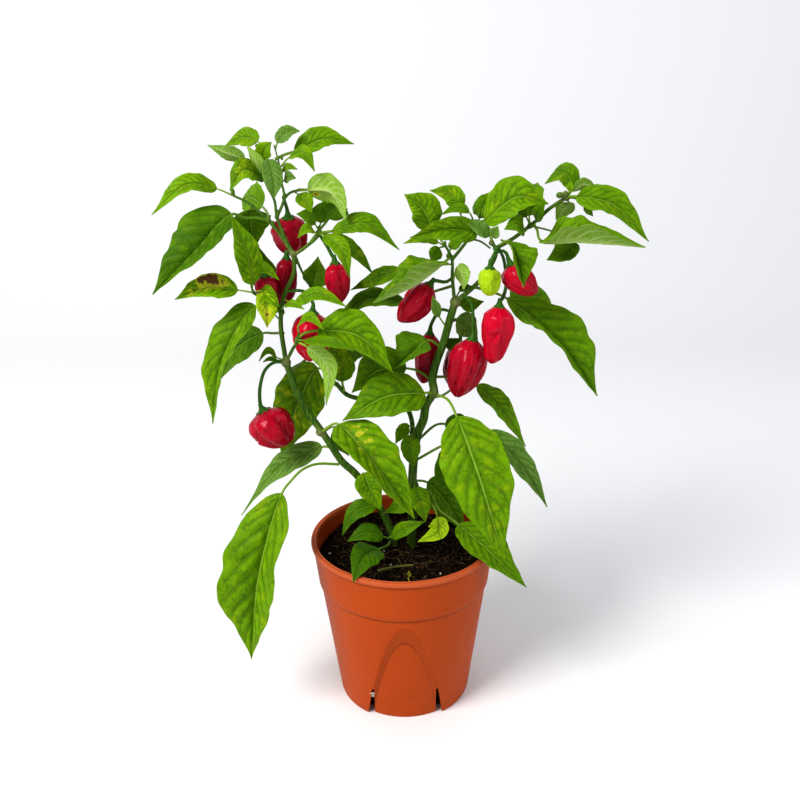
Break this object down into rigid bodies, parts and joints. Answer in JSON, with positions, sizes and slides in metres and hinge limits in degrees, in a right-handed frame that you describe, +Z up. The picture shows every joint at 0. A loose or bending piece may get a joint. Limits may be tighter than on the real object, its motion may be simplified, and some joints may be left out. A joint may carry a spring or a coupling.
{
  "type": "potted chilli pepper plant",
  "caption": "Chilli pepper plant with two leafy stems and lantern-shaped fruits, growing from soil in a round tapered plastic nursery pot.",
  "frame": {"origin": "centre of the pot's flat underside", "axes": "+Z up along the pot's axis; -Y toward the side from which the plant is seen in front; +X to the right from there"},
  "size_m": [0.3509, 0.1771, 0.4593],
  "materials": {
    "pot": "matte terracotta-coloured plastic",
    "soil": "loose dark potting mix",
    "twig": "dry olive stalk",
    "stem": "smooth dark green bark",
    "leaf": "soft satin green leaf",
    "pepper_red": "glossy wrinkled skin",
    "pepper_green": "glossy unripe skin"
  },
  "bodies": {
    "root": {"pot": "pot", "soil": "soil", "twig": "twig", "leaf_left_01": "leaf", "leaf_left_02": "leaf", "leaf_left_03": "leaf", "leaf_left_04": "leaf", "leaf_left_05": "leaf", "leaf_left_06": "leaf", "leaf_left_07": "leaf", "leaf_left_08": "leaf", "leaf_left_09": "leaf", "leaf_left_10": "leaf", "leaf_back_01": "leaf", "leaf_back_02": "leaf", "leaf_back_03": "leaf", "leaf_back_04": "leaf", "leaf_low_01": "leaf", "pepper_left_1": "pepper_red", "pepper_left_2": "pepper_red", "pepper_left_3": "pepper_red", "pepper_left_4": "pepper_red", "pepper_left_5": "pepper_red", "pepper_left_6": "pepper_red", "stem_left": "stem", "leaf_left_11": "leaf", "leaf_left_12": "leaf", "leaf_mid_01": "leaf", "leaf_mid_02": "leaf", "leaf_mid_03": "leaf", "leaf_mid_04": "leaf", "leaf_mid_05": "leaf", "leaf_right_01": "leaf", "leaf_right_02": "leaf", "leaf_right_03": "leaf", "leaf_right_04": "leaf", "leaf_right_05": "leaf", "leaf_right_06": "leaf", "leaf_right_07": "leaf", "leaf_right_08": "leaf", "leaf_right_09": "leaf", "leaf_right_10": "leaf", "leaf_right_11": "leaf", "leaf_back_05": "leaf", "leaf_back_06": "leaf", "leaf_back_07": "leaf", "leaf_back_08": "leaf", "leaf_back_09": "leaf", "pepper_right_1": "pepper_red", "pepper_right_2": "pepper_red", "pepper_right_3": "pepper_green", "pepper_right_4": "pepper_red", "pepper_right_5": "pepper_red", "pepper_right_6": "pepper_red", "pepper_right_7": "pepper_red", "stem_right": "stem"}
  },
  "joints": []
}
